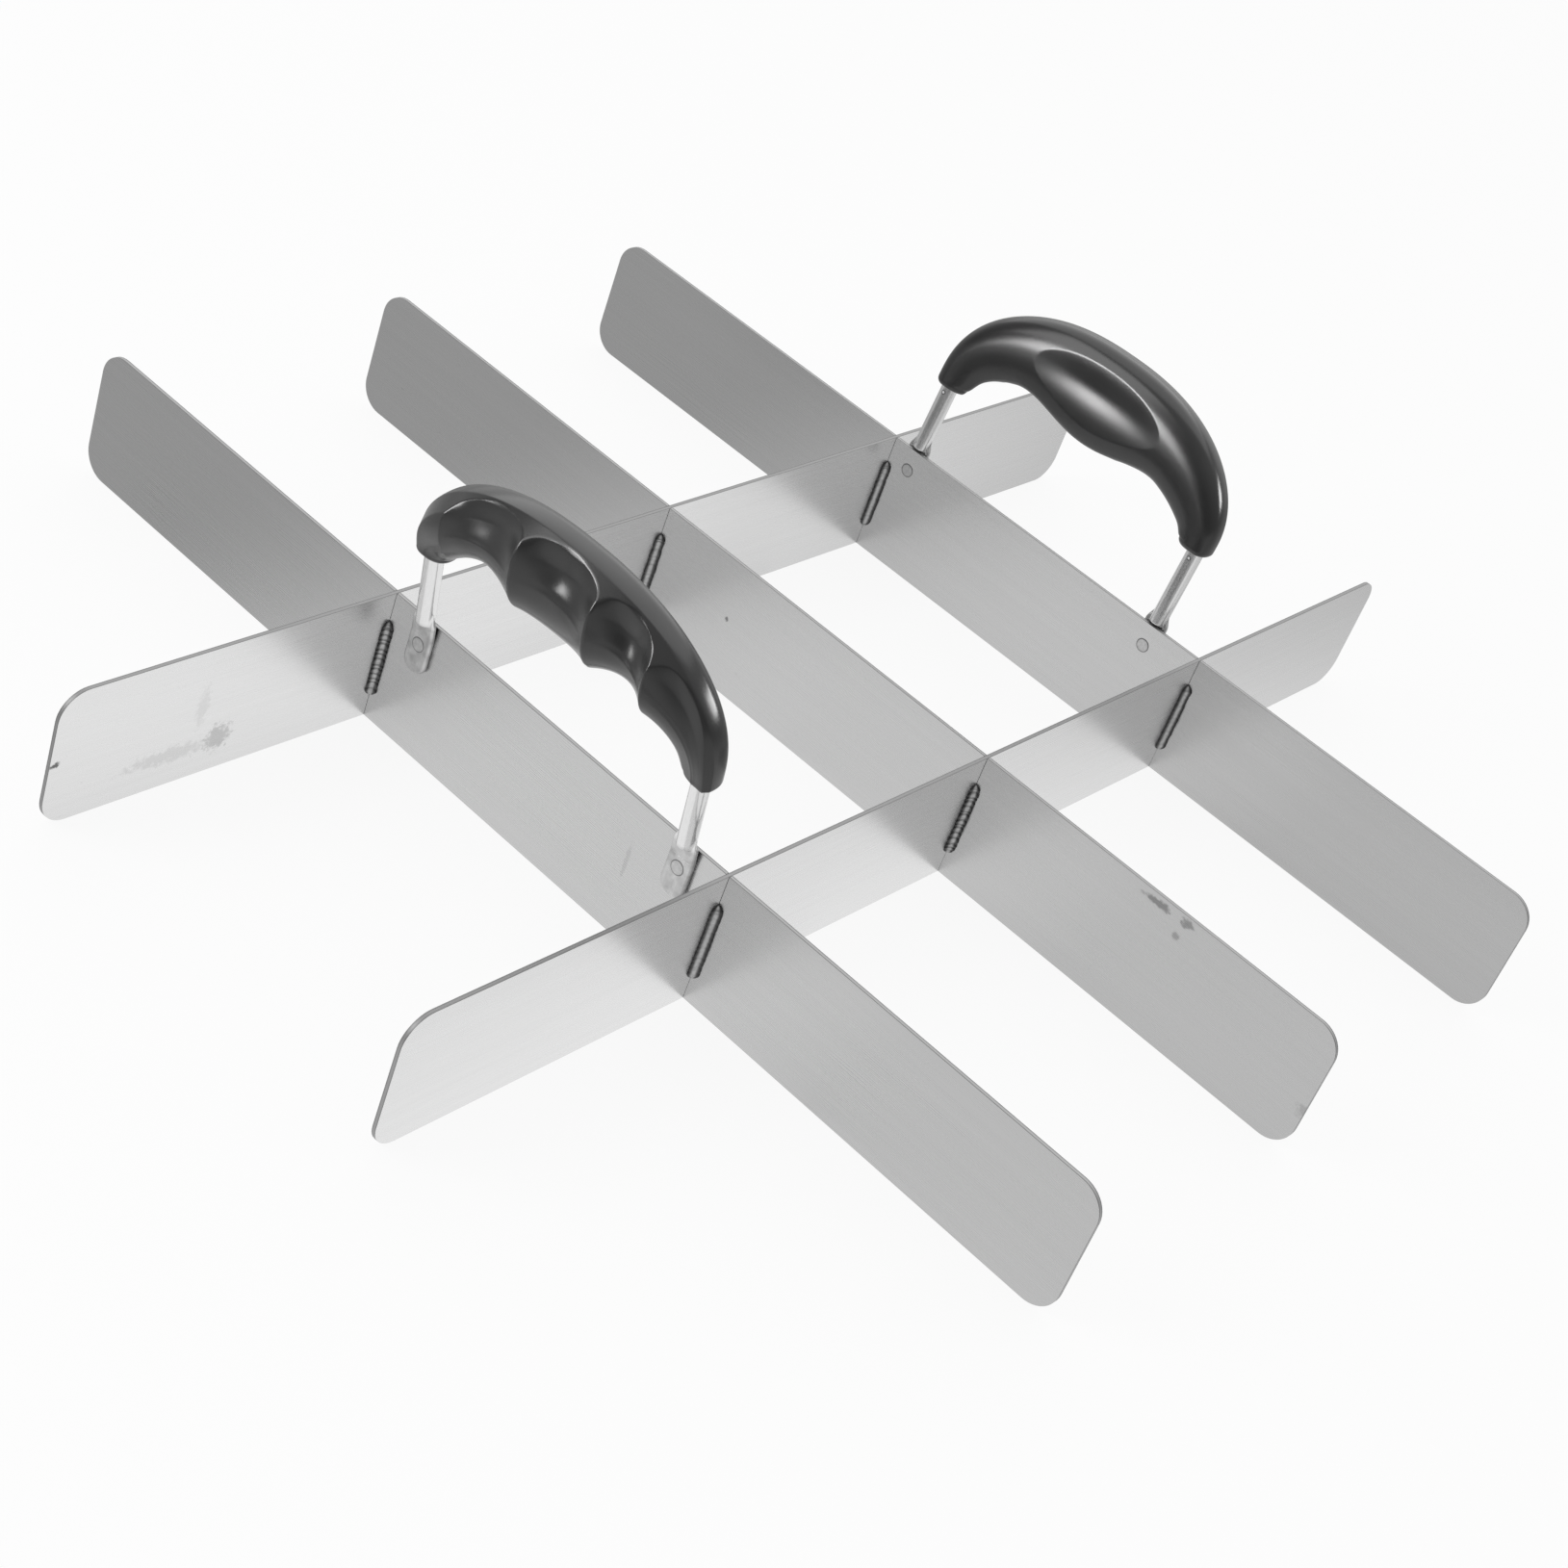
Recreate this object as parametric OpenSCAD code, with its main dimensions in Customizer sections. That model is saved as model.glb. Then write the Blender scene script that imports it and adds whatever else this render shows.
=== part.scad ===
// Cake portion marker: a welded grid of five upright blades with two riveted carrying handles.
// It stands on the blades' lower edges. X runs along the two long blades, Y along the three short ones.

/* [Blades] */
// Length of the two long blades, along X
long_blade_len = 525; // [420:1:640]
// Length of the three short blades, along Y
short_blade_len = 460; // [360:1:560]
// Height of every blade
blade_h = 50; // [42:1:70]
// Thickness of the blade strip
blade_t = 1.5; // [1:0.1:3]
// Distance from one short blade to the next
short_pitch = 131; // [90:1:180]
// Distance from one long blade to the other
long_pitch = 154; // [140:1:200]
// Radius of the rounded corners at the blades' ends
corner_r = 10; // [3:0.5:18]
// Play of a blade in the slot that it crosses
slot_play = 0.1; // [0.05:0.05:0.4]

/* [Welds] */
// Length of the fillet weld at each crossing
weld_len = 30; // [12:1:36]
// Distance from the blades' top edge down to the weld
weld_gap = 11; // [4:0.5:11]
// Width of the weld on each blade
weld_leg = 2.6; // [1.5:0.1:4]
// Distance between two ripples of the weld
weld_ripple = 2; // [1.5:0.1:4]
// Height of a ripple
weld_ripple_h = 0.25; // [0:0.05:0.4]

/* [Posts] */
// Distance from a centred handle's post to the long blade beside it
post_gap = 16.5; // [15.5:0.5:28]
// Outside diameter of the post's tube
post_d = 6.5; // [5.5:0.1:8]
// Wall of the post's tube
post_wall_t = 1; // [0.6:0.1:1.4]
// Width of the tube where it is squeezed flat
tab_w = 10; // [8:0.1:11]
// Length of the tab below the blade's top edge
tab_len = 19.5; // [17:0.5:28]
// Radius of the tab's two lower corners
tab_corner_r = 2.8; // [1:0.1:3.5]
// Depth below the blade's top edge at which the post starts to lean
bend_depth = 5; // [4:0.5:5.5]
// Lean of the left handle, away from the blades
left_lean_angle = 9; // [4:0.5:14]
// Lean of the right handle, away from the blades
right_lean_angle = 8.5; // [4:0.5:14]
// Length over which the flat tab swells to the round tube
shoulder_len = 6; // [4:0.5:9]
// Diameter of the small cross hole in the right handle's front post
cross_hole_d = 1.2; // [0.6:0.1:2]
// Distance from the grip down to the cross hole
cross_hole_drop = 4; // [3:0.5:8]

/* [Rivets] */
// Diameter of the flush rivets
rivet_d = 5.5; // [3:0.1:6]
// Depth of the rivets below the blade's top edge
rivet_depth = 9; // [9:0.5:12]
// Play of a rivet in its hole
rivet_play = 0.02; // [0.01:0.01:0.1]

/* [Grips] */
// How far the left grip sits off the middle, towards the back
left_shift = 0; // [-6:0.5:6]
// How far the right grip sits off the middle, towards the back
right_shift = 6; // [-6:0.5:6]
// Height of the left grip's lower foot above the blades
left_grip_height = 29; // [22:0.5:40]
// Height of the right grip's lower foot above the blades
right_grip_height = 31; // [22:0.5:40]
// How much higher a grip's foot is beside its first finger groove
foot_step_height = 3.5; // [0:0.5:6]
// Rise of the grip's centre line from foot to middle
arch_rise = 31.5; // [20:0.5:40]
// How square the arch is: 2 is an ellipse, more is squarer
arch_power = 2.4; // [2:0.05:2.6]
// Depth of the grip's foot outside its post
foot_outside = 5.6; // [5:0.1:9]
// Depth of the grip's foot inside its post
foot_inside = 8.2; // [6:0.1:9]
// Half width of the grip at its feet
foot_half_width = 6.4; // [5.8:0.1:9]
// Depth of the grip above its centre line, at the middle
crown_depth = 16; // [8:0.5:20]
// Depth of the grip below its centre line, beside the belly
under_depth = 14; // [10:0.5:15]
// How far the belly hangs below that, at the middle
belly_depth = 8; // [0:0.5:10]
// Width of the grip on its outer side, at the middle
outer_width = 15; // [9:0.5:18]
// Width of the grip on its inner side, at the middle
inner_width = 7.5; // [7:0.5:16]
// How square the grip's section is: 2 is an ellipse, more is squarer
section_power = 2.3; // [2:0.1:3]
// Slope of the flat shoulder between the grip's crest and its grooves
shoulder_slope = 42; // [30:1:55]
// Depth of the four finger grooves
groove_depth = 4.2; // [0:0.1:4.5]
// Depth of the oval thumb dish
dish_depth = 1.6; // [0:0.1:2.5]
// Length of the oval thumb dish
dish_len = 60; // [20:1:70]
// Rounding of the grip's feet
foot_round = 2.5; // [1:0.1:4]
// Depth of the sockets that take the posts
socket_depth = 11; // [8:0.5:12]
// Play of a post in its socket
socket_play = 0.1; // [0.05:0.05:0.3]

/* [Hidden] */

// Colours
steel = [0.78, 0.79, 0.8];
bright_steel = [0.86, 0.87, 0.88];
weld_steel = [0.6, 0.58, 0.55];
black = [0.1, 0.1, 0.1];

// Sides along X and ends along Y, as factors
left = -1;
middle = 0;
right = 1;
front = -1;
back = 1;
// Places of the crossings, and the depth of a half-lap slot
short_places = [for (side = [left, middle, right]) side * short_pitch];
long_places = [for (end = [front, back]) end * long_pitch / 2];
slot_depth = blade_h / 2;
// Heights of the weld's lower end, the tab's lower edge, the post's bend and the rivets
weld_z = blade_h - weld_gap - weld_len;
tab_z = blade_h - tab_len;
bend_z = blade_h - bend_depth;
rivet_z = blade_h - rivet_depth;

// Distance between the two posts of a handle
post_spacing = long_pitch - 2 * post_gap;
// A tab is two tube walls thick and lies flat on the outer face of its blade
tab_t = 2 * post_wall_t;
tab_x = (blade_t + tab_t) / 2;
post_r = post_d / 2;
post_sides = 20;
corner_steps = [0, 0.15, 0.5, 1];
shoulder_steps = [0, 0.12, 0.25, 0.4, 0.55, 0.7, 0.85, 1];

// How far a cut reaches past the face that it opens
cut_past = 1;

// How many rings and points a grip has
grip_rings = 50;
grip_points = 36;
// How fast the grip's sizes fade from the middle to the feet
crown_fade = 1.7;
under_fade = 0.4;
width_fade = 1;
lift_fade = 3;
// Reach of the belly as a share of the half spacing, and place of the crest edge as a share of the width
belly_reach = 0.65;
crest_share = 0.33;
// Ends of the finger grooves as shares of the half spacing, and how deep each groove is
groove_ends = [-0.81, -0.26, 0.276, 0.67, 1.09];
groove_shares = [0.9, 1, 1, 0.6];
// Upper edge of a groove as an angle of the section, how far it comes down at the groove's ends,
// the angle over which its wall drops, and where it fades out below
groove_top = 22;
groove_arc = 18;
groove_wall = 20;
groove_fade_from = 95;
groove_fade_over = 100;
// Middle and reach of the thumb dish as angles of the section
dish_angle = 267;
dish_reach = 36;

// Shift along Y and lean of a side's handle, and height of its grip above the blades
function shift_of(side) = side == left ? left_shift : right_shift;
function lean_of(side) = side == left ? left_lean_angle : right_lean_angle;
function foot_of(side) = side == left ? left_grip_height : right_grip_height;
// Height where the grip ends at a post; local_end is the post's end in the handle's own frame
function foot_at(side, local_end) = foot_of(side) + (local_end == front ? foot_step_height : 0);
// Signed power, which keeps the sign of x
function spow(x, p) = sign(x) * pow(abs(x), p);
// Smooth step from 0 at x = 0 to 1 at x = 1
function ease(x) = let (c = max(0, min(1, x))) c * c * (3 - 2 * c);
function mix(a, b, share) = a + (b - a) * share;
// Faces of a tube of rings, each of n points, closed at both ends
function tube_faces(rings, n) = concat(
    [[for (i = [n - 1:-1:0]) i]],
    [for (r = [0:rings - 2], i = [0:n - 1])
        each [[r * n + i, r * n + (i + 1) % n, (r + 1) * n + i],
              [r * n + (i + 1) % n, (r + 1) * n + (i + 1) % n, (r + 1) * n + i]]],
    [[for (i = [0:n - 1]) (rings - 1) * n + i]]);

// Outline of an upright strip with four rounded corners
module strip_outline(len) {
    translate([-len / 2 + corner_r, 0]) square([len - 2 * corner_r, blade_h]);
    translate([-len / 2, corner_r]) square([len, blade_h - 2 * corner_r]);
    for (x = [corner_r - len / 2, len / 2 - corner_r], z = [corner_r, blade_h - corner_r])
        translate([x, z]) circle(r = corner_r, $fn = 64);
}

// Upright strip along X, centred on its thickness
module strip(len) {
    translate([0, blade_t / 2, 0]) rotate([90, 0, 0]) linear_extrude(blade_t) strip_outline(len);
}

// Slots across a strip at the given places; they open at the top or at the bottom
module slots(places, open_top) {
    slot_w = blade_t + 2 * slot_play;
    for (x = places)
        translate([x - slot_w / 2, -blade_t, open_top ? blade_h - slot_depth : -cut_past])
            cube([slot_w, 2 * blade_t, slot_depth + cut_past]);
}

// Long blade: its slots open at the bottom
module long_blade(end) {
    color(steel) translate([0, end * long_pitch / 2, 0])
        difference() {
            strip(long_blade_len);
            slots(short_places, false);
        }
}

// Short blade: its slots open at the top, and the outer two carry a handle
module short_blade(side) {
    color(steel) translate([side * short_pitch, 0, 0])
        difference() {
            rotate([0, 0, 90]) difference() {
                strip(short_blade_len);
                slots(long_places, true);
            }
            if (side != middle)
                for (end = [front, back])
                    translate([0, shift_of(side) + end * post_spacing / 2, 0]) rivet_hole();
        }
}

// Fillet weld in the front left corner of a crossing, with a rippled round face
module weld(side, end) {
    rings = 2 * floor(weld_len / weld_ripple) + 1;
    step = weld_len / (rings - 1);
    function leg(i) = weld_leg * (i == 0 || i == rings - 1 ? 0.55 : 1) + (i % 2 == 0 ? 0 : weld_ripple_h);
    points = [for (i = [0:rings - 1]) each concat(
        [[0, 0, i * step]],
        [for (a = [0:18:90]) let (bulge = 0.72 + 0.28 * pow(abs(cos(2 * a)), 2))
            [-leg(i) * cos(a) * bulge, -leg(i) * sin(a) * bulge, i * step]])];
    color(weld_steel)
        translate([side * short_pitch - blade_t / 2, end * long_pitch / 2 - blade_t / 2, weld_z])
        polyhedron(points = points, faces = tube_faces(rings, 7), convexity = 4);
}

// Places its children at a handle: X is then outwards and Y along the blade.
// The two handles are the same, turned by half a turn.
module at_handle(side) {
    translate([side * short_pitch, shift_of(side), 0]) rotate([0, 0, side == right ? 0 : 180]) children();
}

// Places its children at the post on one end of a handle
module at_post(side, end) {
    at_handle(side) translate([0, side * end * post_spacing / 2, 0]) children();
}

// Hole for a rivet through blade and tab
module rivet_hole() {
    translate([0, 0, rivet_z]) rotate([0, 90, 0])
        cylinder(r = rivet_d / 2 + rivet_play, h = 2 * (blade_t + tab_t + cut_past), center = true, $fn = 48);
}

// Flush rivet from the blade's inner face to the tab's outer face
module rivet(side, end) {
    color(bright_steel) at_post(side, end) translate([-blade_t / 2, 0, rivet_z]) rotate([0, 90, 0])
        cylinder(r = rivet_d / 2, h = blade_t + tab_t, $fn = 48);
}

// Rings of a post as [distance along it, half width, half thickness]: tab, shoulder and tube.
// The tube rises by the given height above the blade's top edge.
function post_stations(lean, tube_rise) = let (
        bend = tab_len - bend_depth,
        shoulder = bend + bend_depth / cos(lean),
        flat_w = tab_w / 2, flat_t = tab_t / 2)
    concat(
        [for (s = corner_steps)
            [s * tab_corner_r, flat_w - tab_corner_r * (1 - sqrt(1 - pow(1 - s, 2))), flat_t]],
        [[bend, flat_w, flat_t]],
        [for (s = shoulder_steps)
            [shoulder + s * shoulder_len, mix(flat_w, post_r, ease(s)), mix(flat_t, post_r, ease(s))]],
        [[shoulder + tube_rise, post_r, post_r]]);
// Point of a post's middle line at a distance along it, as [outwards, up]
function post_line(lean, s) = let (over = max(0, s - bend_z + tab_z))
    [tab_x + over * sin(lean), tab_z + s - over + over * cos(lean)];
// Points of one ring of a post: flat sides with half-round edges, or a circle where it is round
function post_ring(lean, station) = let (
        at = post_line(lean, station[0]),
        over = sign(station[0] - bend_z + tab_z),
        turn = lean * (over + 1) / 2,
        t = station[2])
    [for (i = [0.5:post_sides - 0.5]) let (
            a = i * 360 / post_sides,
            along = sign(cos(a)) * (station[1] - t) + t * cos(a),
            out = t * sin(a))
        [at[0] + out * cos(turn), along, at[1] - out * sin(turn)]];

// Post: a tube whose lower end is squeezed to a flat tab; one has a small cross hole in its inner side
module post(side, end, cross_hole = false) {
    lean = lean_of(side);
    foot = foot_at(side, side * end);
    tube_top = foot + socket_depth;
    stations = post_stations(lean, tube_top - socket_play);
    color(bright_steel) at_post(side, end) difference() {
        polyhedron(points = [for (s = stations) each post_ring(lean, s)],
                   faces = tube_faces(len(stations), post_sides), convexity = 4);
        rivet_hole();
        lean_frame(lean) translate([0, 0, shoulder_len])
            cylinder(r = post_r - post_wall_t, h = tube_top - shoulder_len, $fn = 32);
        if (cross_hole)
            lean_frame(lean) translate([-post_r - cut_past, 0, foot - cross_hole_drop]) rotate([0, 90, 0])
                cylinder(d = cross_hole_d, h = post_r + cut_past, $fn = 24);
    }
}

// Puts its children in the grip's leaning frame: Z runs up the posts from the blade's top edge
module lean_frame(lean) {
    translate([tab_x + bend_depth * tan(lean), 0, blade_h]) rotate([0, lean, 0]) children();
}

// Centre line of a side's grip at sweep angle a, as [along, up]
function grip_line(side, a) = let (rise = pow(max(sin(a), 0), 2 / arch_power))
    [post_spacing / 2 * spow(cos(a), 2 / arch_power),
     foot_of(side) + arch_rise * rise + (a > 90 ? foot_step_height * pow(1 - sin(a), lift_fade) : 0)];
// Unit vector from the centre line to the outside of the arch
function grip_normal(a) = let (
        y = spow(cos(a), 2 - 2 / arch_power) / (post_spacing / 2),
        z = pow(max(sin(a), 0), 2 - 2 / arch_power) / arch_rise,
        size = norm([y, z]))
    [y / size, z / size];
// Size that swells from the feet to the middle
function swell(foot, middle, fade, a) = foot + (middle - foot) * pow(max(sin(a), 0), fade);

// Share of its depth that a finger groove takes at distance y along the grip and section angle phi
function groove(i, y, phi) = let (
        from = groove_ends[i] * post_spacing / 2,
        to = groove_ends[i + 1] * post_spacing / 2,
        across = pow((2 * y - from - to) / (to - from), 2),
        wall = max(0, min(1, (phi - groove_top - groove_arc * across) / groove_wall)),
        fade = max(0, min(1, (phi - groove_fade_from) / groove_fade_over)))
    groove_shares[i] * max(0, 1 - across) * (1 - pow(1 - wall, 2)) * (1 - fade * fade);
// Share of its depth that the thumb dish takes
function dish(y, phi) = max(0, 1 - pow(2 * y / dish_len, 2) - pow((phi - dish_angle) / dish_reach, 2));

// One ring of a side's grip: inset shrinks it where a foot is rounded, and drop moves it down the posts.
// A flat shoulder cuts the section off from the crest edge outwards, before grooves and dish are scooped out.
function grip_ring(side, a, inset, drop) = let (
        at = grip_line(side, a), n = grip_normal(a),
        up = swell(foot_outside, crown_depth, crown_fade, a),
        hang = pow(max(0, 1 - pow(at[0] / (belly_reach * post_spacing / 2), 2)), 2),
        down = swell(foot_inside, under_depth, under_fade, a) + belly_depth * hang,
        outer = swell(foot_half_width, outer_width, width_fade, a),
        inner = swell(foot_half_width, inner_width, width_fade, a),
        crest_up = up * pow(1 - pow(crest_share, section_power), 1 / section_power),
        flat_at = crest_share * outer * sin(shoulder_slope) + crest_up * cos(shoulder_slope))
    [for (i = [0:grip_points - 1]) let (
            phi = i * 360 / grip_points,
            u = spow(cos(phi), 2 / section_power) * (cos(phi) > 0 ? up : down),
            w = spow(sin(phi), 2 / section_power) * (sin(phi) > 0 ? outer : inner),
            flat_keep = flat_at / max(w * sin(shoulder_slope) + u * cos(shoulder_slope), flat_at),
            y = at[0] + n[0] * u,
            grooves = [for (k = [0:len(groove_shares) - 1]) groove(k, y, phi)],
            cut = inset + groove_depth * max(grooves) + dish_depth * dish(at[0], phi),
            keep = flat_keep - cut / norm([u, w]))
        [w * keep, at[0] + n[0] * u * keep, at[1] + n[1] * u * keep - drop]];

// Moulded grip with four finger grooves outside and a thumb dish inside
module grip(side) {
    foot = [for (t = [0:30:60]) [foot_round * (1 - cos(t)), foot_round * sin(t)]];
    rings = concat(
        [for (i = [len(foot) - 1:-1:0]) grip_ring(side, 0, foot[i][0], foot[i][1])],
        [for (i = [1:grip_rings - 1]) grip_ring(side, i * 180 / grip_rings, 0, 0)],
        [for (i = [0:len(foot) - 1]) grip_ring(side, 180, foot[i][0], foot[i][1])]);
    color(black) at_handle(side) lean_frame(lean_of(side))
        difference() {
            polyhedron(points = [for (r = rings) each r], faces = tube_faces(len(rings), grip_points),
                       convexity = 6);
            for (local_end = [front, back])
                translate([0, local_end * post_spacing / 2, foot_at(side, local_end) - foot_round - cut_past])
                    cylinder(r = post_r + socket_play, h = socket_depth + foot_round + cut_past, $fn = 40);
        }
}

short_blade(left);  // short_blade_left
short_blade(middle);  // short_blade_middle
short_blade(right);  // short_blade_right
long_blade(front);  // long_blade_front
long_blade(back);  // long_blade_back
weld(left, front);  // weld_left_front
weld(left, back);  // weld_left_back
weld(middle, front);  // weld_middle_front
weld(middle, back);  // weld_middle_back
weld(right, front);  // weld_right_front
weld(right, back);  // weld_right_back
post(left, front);  // post_left_front
post(left, back);  // post_left_back
post(right, front, cross_hole = true);  // post_right_front
post(right, back);  // post_right_back
rivet(left, front);  // rivet_left_front
rivet(left, back);  // rivet_left_back
rivet(right, front);  // rivet_right_front
rivet(right, back);  // rivet_right_back
grip(left);  // grip_left
grip(right);  // grip_right
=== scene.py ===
"""Cake portion marker: the looks of its welded blades, posts, rivets and grips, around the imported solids."""
import math
from types import SimpleNamespace

import bmesh
import bpy
from mathutils import Matrix, Vector


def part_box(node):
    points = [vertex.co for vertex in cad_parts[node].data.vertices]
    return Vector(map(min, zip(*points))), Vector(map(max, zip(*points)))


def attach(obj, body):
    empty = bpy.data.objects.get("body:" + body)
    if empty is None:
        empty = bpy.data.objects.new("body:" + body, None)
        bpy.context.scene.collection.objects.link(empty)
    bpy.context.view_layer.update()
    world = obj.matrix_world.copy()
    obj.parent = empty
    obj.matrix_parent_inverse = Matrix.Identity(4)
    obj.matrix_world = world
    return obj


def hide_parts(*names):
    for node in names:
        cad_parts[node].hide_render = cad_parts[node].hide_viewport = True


bl_info = {
    "name": "Cake portion marker",
    "version": (1, 0, 0),
    "blender": (4, 5, 0),
    "location": "3D View > Sidebar > Portion marker",
    "description": "Dresses a welded cake portion marker with brushed steel, weld beads, posts and moulded grips",
    "category": "Object",
}

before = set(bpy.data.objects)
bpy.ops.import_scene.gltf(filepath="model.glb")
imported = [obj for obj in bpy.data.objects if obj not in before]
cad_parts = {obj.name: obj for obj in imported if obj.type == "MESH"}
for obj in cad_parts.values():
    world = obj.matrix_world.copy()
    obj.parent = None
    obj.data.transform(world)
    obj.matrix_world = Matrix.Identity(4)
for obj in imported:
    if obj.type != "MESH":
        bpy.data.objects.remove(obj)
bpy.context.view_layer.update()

MM = 0.001
SIDES = {"left": -1, "middle": 0, "right": 1}
ENDS = {"front": -1, "back": 1}
HANDLES = ("left", "right")
# Wear on the faces towards the camera: place along the blade, height, reach along and up, and how dark it is
WEAR = {
    "long_blade_back": ((-197, 13, 9, 9, 0.3), (-216, 12, 28, 5, 0.14), (-206, 28, 4, 13, 0.1),
                        (-260.5, 23.5, 3, 2, 0.8)),
    "short_blade_middle": ((-154, 47, 9, 2.5, 0.5), (-166.5, 47.5, 4, 3, 0.45), (-165, 41, 3, 2.5, 0.35),
                           (-232, 18, 8, 5, 0.2), (38, 27.6, 1.5, 1.5, 0.6)),
    "short_blade_left": ((-41, 28, 1.5, 12, 0.12),),
}
# Middle height of the welds, and how far their burnt scale reaches along X, Y and Z
WELD_MIDDLE = 24 * MM
SCALE_REACH = (3.9 * MM, 3.9 * MM, 18 * MM)
# Share of the ripple height on the welds that show clear ripples, and on the others
CLEAR_RIPPLES = {"weld_left_back": 1.0, "weld_middle_front": 1.2}
FAINT_RIPPLES = 0.4
# Finger grooves of a grip: their edges along the grip in millimetres, and the share of the depth that each has
GROOVE_EDGES = (-49, -15.7, 16.7, 40.5, 66)
GROOVE_SHARES = (0.9, 1.0, 1.0, 0.6)
# Cross hole of a post, painted as a ring of painted shade round a core of painted light: its radius and how far it
# is below the grip's foot; and the post's play in its socket
PAINTED_HOLE_RADIUS = 1 * MM
PAINTED_HOLE_DROP = 5 * MM
SOCKET_PLAY = 0.1 * MM
# Points of a surface closer than this become one
MERGE_DISTANCE = 0.002 * MM
# Softboxes: name, place, width, brightness, and the grips that it lights alone, or None where it lights everything
SOFTBOXES = (
    ("room_softbox", (-1.2, 0.85, 0.95), 0.9, 3, None),
    ("left_softbox", (-1.4, 0.95, 0.35), 0.65, 14, ("left",)),
    ("dish_softbox", (-1.3, 0.65, 0.2), 0.45, 20, ("right",)),
    ("right_softbox", (0.9, -1.15, 0.75), 0.5, 16, HANDLES),
    ("top_softbox", (0.5, 0.5, 1.4), 2.6, 1.2, HANDLES),
)
# Floor: half its width, and the bright spot that metal mirrors, by its middle and its reach to each side
FLOOR_REACH = 6
SPOT_X, SPOT_Y = -0.18, -0.01
SPOT_REACH_X, SPOT_REACH_FRONT, SPOT_REACH_BACK = 0.55, 0.2, 0.15
# Camera: width of its sensor in millimetres, and its nearest and furthest distance in metres
SENSOR_WIDTH = 36
CLIP_START, CLIP_END = 0.05, 50
WHITE = (1, 1, 1, 1)


def middle_of(node):
    """Middle of a CAD node's box."""
    low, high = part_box(node)
    return (low + high) / 2


BLADE_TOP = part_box("short_blade_left")[1].z
BLADE_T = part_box("short_blade_left")[1].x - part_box("short_blade_left")[0].x
SHORT_X = {side: middle_of("short_blade_" + side).x for side in SIDES}
LONG_Y = {end: middle_of("long_blade_" + end).y for end in ENDS}
HANDLE_Y = {side: (middle_of(f"post_{side}_front").y + middle_of(f"post_{side}_back").y) / 2 for side in HANDLES}
POST_SPACING = middle_of("post_left_back").y - middle_of("post_left_front").y


def length(name, description, default):
    """Property of a length in metres."""
    return bpy.props.FloatProperty(name=name, description=description, default=default, unit="LENGTH", precision=5)


def number(name, description, default):
    """Property of a plain number."""
    return bpy.props.FloatProperty(name=name, description=description, default=default, precision=3)


def share(name, description, default):
    """Property of a share from 0 to 1."""
    return bpy.props.FloatProperty(name=name, description=description, default=default, subtype="FACTOR",
                                   min=0, max=1)


def angle(name, description, degrees):
    """Property of an angle, given here in degrees."""
    return bpy.props.FloatProperty(name=name, description=description, default=math.radians(degrees),
                                   unit="ROTATION")


class SteelLooks(bpy.types.PropertyGroup):
    """Finish of the brushed blades, the posts, the rivets and the weld beads."""
    # The two blade tones are painted light and shade: the same steel is painted darker on the short blades, whose
    # faces turn another way to the light, than on the long blades
    short_tone_painted_darker: share("Short blade tone", "Grey of the brushed short blades", 0.55)
    long_tone_painted_lighter: share("Long blade tone", "Grey of the brushed long blades", 0.77)
    blade_roughness: share("Blade roughness", "Roughness of the brushed blades", 0.28)
    grain: share("Grain", "How much the brushing changes the tone", 0.055)
    post_tone: share("Post tone", "Grey of the posts' bright tube", 0.75)
    post_roughness: share("Post roughness", "Roughness of the posts' tube", 0.16)
    rivet_tone: share("Rivet tone", "Grey of the hammered rivets", 0.5)
    bead_tone: share("Bead tone", "Grey of the weld beads' bright core", 0.42)
    scale_tone: share("Scale tone", "Grey of the burnt scale beside a bead", 0.085)


class BeadSizes(bpy.types.PropertyGroup):
    """Sizes of a weld bead."""
    bead_len: length("Bead length", "Length of the bead along the crossing", 30 * MM)
    leg: length("Leg", "Width of the bead on each blade", 2.6 * MM)
    ripple_pitch: length("Ripple pitch", "Distance between two ripples", 2.0 * MM)
    ripple_height: length("Ripple height", "Height of a ripple", 0.35 * MM)
    wobble: length("Wobble", "How far the bead's width wanders", 0.3 * MM)
    seed: number("Seed", "Moves the wandering along", 0)


class PostSizes(bpy.types.PropertyGroup):
    """Sizes of a post: a tube squeezed flat at its lower end."""
    tube_radius: length("Tube radius", "Radius of the round tube", 3.25 * MM)
    tab_half_width: length("Tab half width", "Half the width of the flat tab", 5 * MM)
    tab_half_thickness: length("Tab half thickness", "Half the thickness of the flat tab", 1 * MM)
    tab_len: length("Tab length", "From the tab's lower edge to the bend", 14.5 * MM)
    corner_radius: length("Corner radius", "Radius of the tab's lower corners", 4 * MM)
    to_shoulder: length("To shoulder", "From the bend to the shoulder", 5.06 * MM)
    shoulder_len: length("Shoulder length", "Length over which the tab narrows to the tube", 6 * MM)
    crimp_len: length("Crimp length", "Length over which the flat thickens to the tube", 0.9 * MM)
    top_len: length("Top length", "From the blade's top edge to the post's upper end", 40 * MM)
    lean: angle("Lean", "Lean of the post away from the blade", 9)


class HandlePlaces(bpy.types.PropertyGroup):
    """Lean and height of the two handles."""
    left_lean: angle("Left lean", "Lean of the left handle away from its blade", 9)
    right_lean: angle("Right lean", "Lean of the right handle away from its blade", 8.5)
    left_height: length("Left height", "Height of the left grip's lower foot above the blades", 29 * MM)
    right_height: length("Right height", "Height of the right grip's lower foot above the blades", 31 * MM)


class RivetSizes(bpy.types.PropertyGroup):
    """Sizes of a flush rivet."""
    radius: length("Radius", "Radius of the rivet", 2.75 * MM)
    grip_len: length("Grip length", "From the inner to the outer face", 3.5 * MM)
    rim: length("Rim", "How far a head stands out inside its rim", 0.12 * MM)
    dimple: length("Dimple", "Depth of the hammer marks", 0.07 * MM)


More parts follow.
